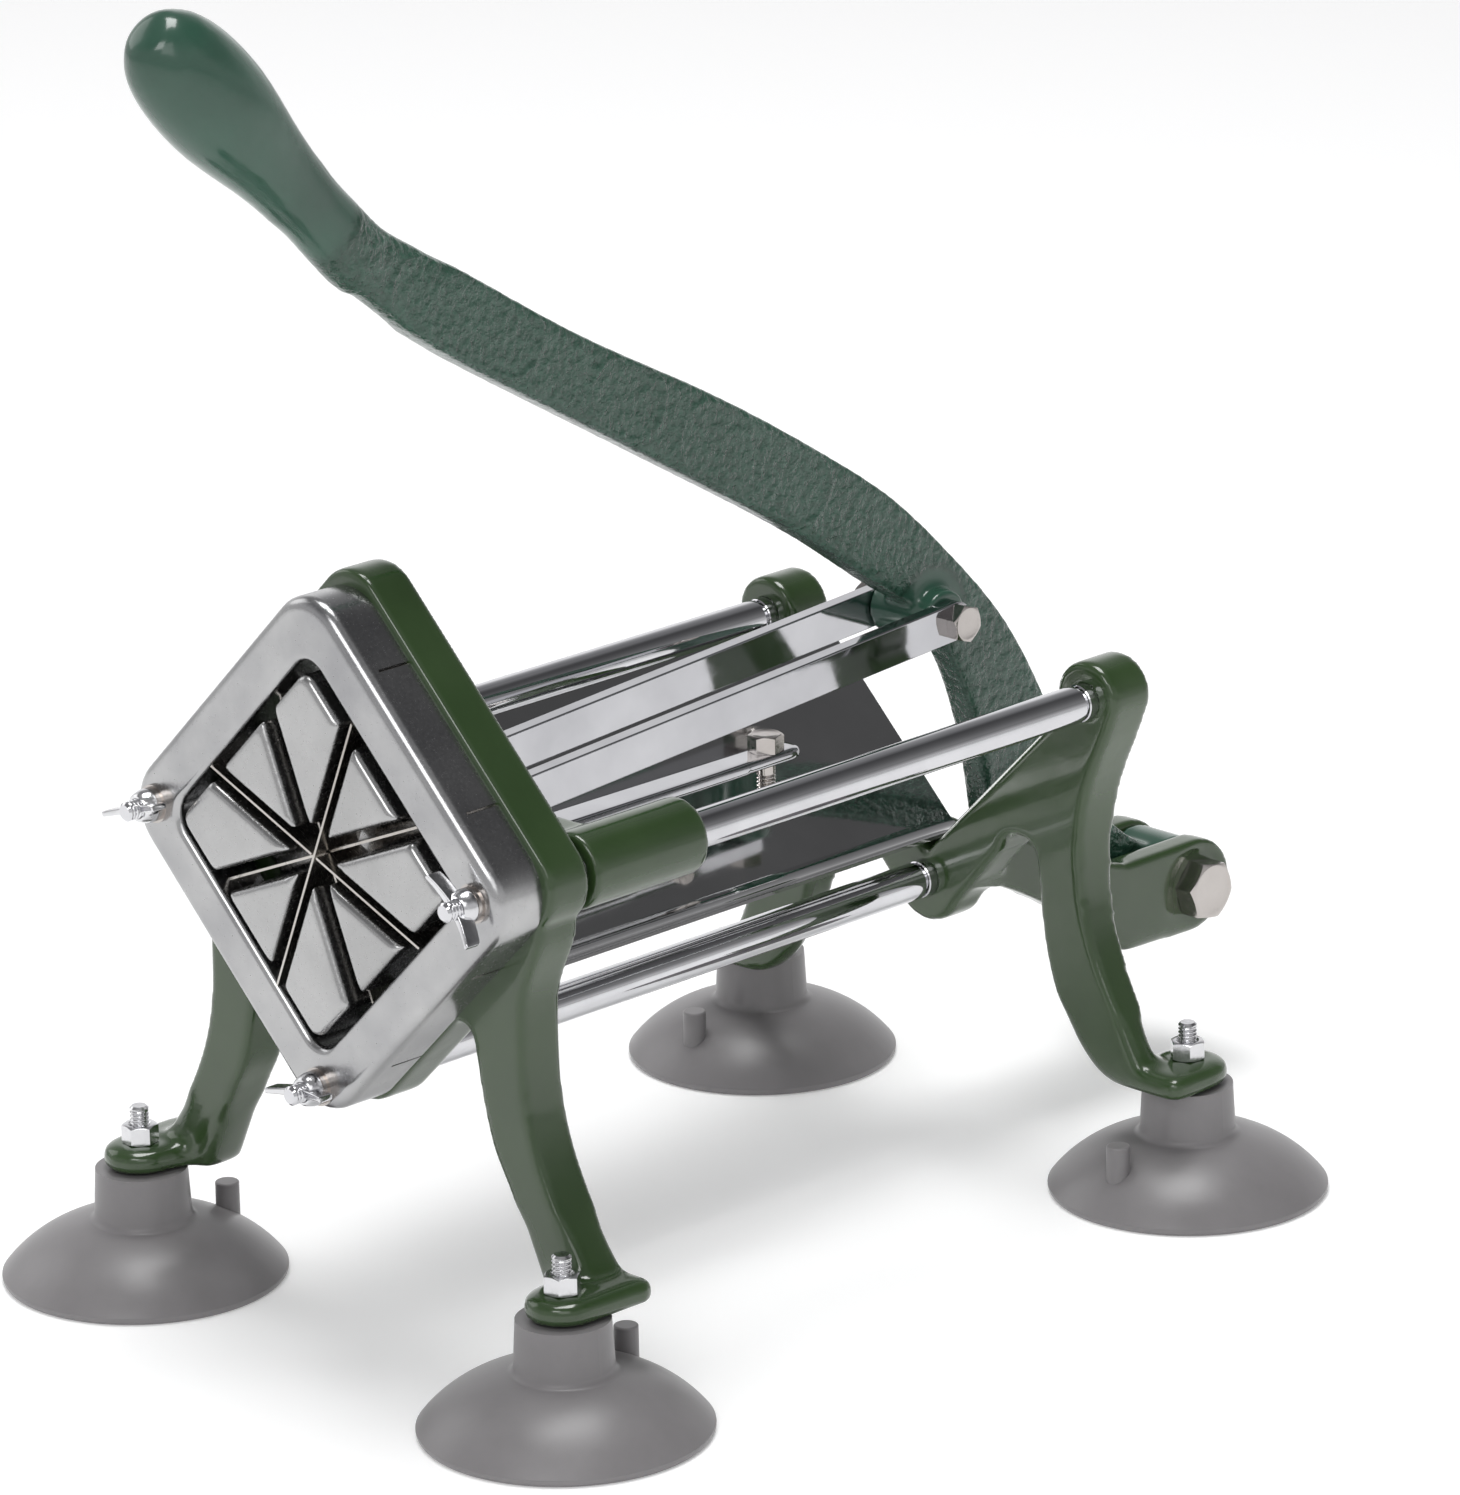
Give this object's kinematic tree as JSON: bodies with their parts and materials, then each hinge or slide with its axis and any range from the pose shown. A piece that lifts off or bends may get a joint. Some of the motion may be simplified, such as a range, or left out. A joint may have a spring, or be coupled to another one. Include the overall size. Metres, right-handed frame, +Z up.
{
  "type": "french fry cutter",
  "caption": "Lever press on suction feet: a ram slides along guide rods and pushes a potato through crossed blades held in a square frame.",
  "frame": {"origin": "on the table under the middle of the object's length and width", "axes": "+X to the right seen from the blades, +Y from the blades back to the lever's pivot, +Z up"},
  "size_m": [0.2792, 0.4444, 0.4244],
  "materials": {
    "green_paint": "gloss",
    "lever_paint": "hammered gloss",
    "cast_aluminium": "satin casting",
    "head_aluminium": "satin casting",
    "blade_steel": "ground",
    "stainless_plate": "polished",
    "chrome": "polished",
    "nickel": "nickel plated",
    "rubber": "matt"
  },
  "bodies": {
    "base": {"front_frame": "green_paint", "rear_frame": "green_paint", "guide_rod_left": "chrome", "guide_rod_right": "chrome", "guide_rod_bottom": "chrome", "guide_plate": "stainless_plate", "blade_holder": "cast_aluminium", "blade_1": "blade_steel", "blade_2": "blade_steel", "blade_3": "blade_steel", "blade_4": "blade_steel", "stud_washers": "nickel", "spring_washers": "nickel", "pivot_bolt": "nickel", "pivot_nut": "nickel", "suction_cup_fl": "rubber", "suction_cup_fr": "rubber", "suction_cup_rl": "rubber", "suction_cup_rr": "rubber", "foot_studs": "nickel", "foot_nuts": "nickel"},
    "ram": {"ram": "green_paint", "pusher_head": "head_aluminium", "head_screws": "nickel", "ram_pin": "nickel", "stop_bolt": "nickel"},
    "lever": {"lever": "lever_paint"},
    "links": {"link_left": "chrome", "link_right": "chrome", "link_bolt": "nickel", "link_nut": "nickel", "link_front_screws": "nickel"},
    "wing_nut_left": {"wing_nut_left": "nickel"},
    "wing_nut_right": {"wing_nut_right": "nickel"},
    "wing_nut_bottom": {"wing_nut_bottom": "nickel"}
  },
  "joints": [
    {"name": "lever_swing", "type": "hinge", "parent": "base", "child": "lever", "pos_m": [0, 0.2062, 0.0612], "axis": [-1, 0, 0], "range_deg": [0, 45]},
    {"name": "ram_slide", "type": "slide", "parent": "base", "child": "ram", "axis": [0, 1, 0], "range_m": [0, 0.1228]},
    {"name": "link_swing", "type": "hinge", "parent": "lever", "child": "links", "pos_m": [0, 0.0952, 0.1772], "axis": [1, 0, 0], "range_deg": [0, 58.2]},
    {"name": "wing_nut_left_turn", "type": "hinge", "parent": "base", "child": "wing_nut_left", "pos_m": [-0.0702, -0.1708, 0.1612], "axis": [0, -1, 0], "continuous": true},
    {"name": "wing_nut_right_turn", "type": "hinge", "parent": "base", "child": "wing_nut_right", "pos_m": [0.0702, -0.1708, 0.1612], "axis": [0, -1, 0], "continuous": true},
    {"name": "wing_nut_bottom_turn", "type": "hinge", "parent": "base", "child": "wing_nut_bottom", "pos_m": [0, -0.1708, 0.0874], "axis": [0, -1, 0], "continuous": true}
  ],
  "couplings": [
    {"joint": "ram_slide", "follows": "lever_swing", "m_per_rad": 0.15616},
    {"joint": "link_swing", "follows": "lever_swing", "ratio": 1.291}
  ]
}
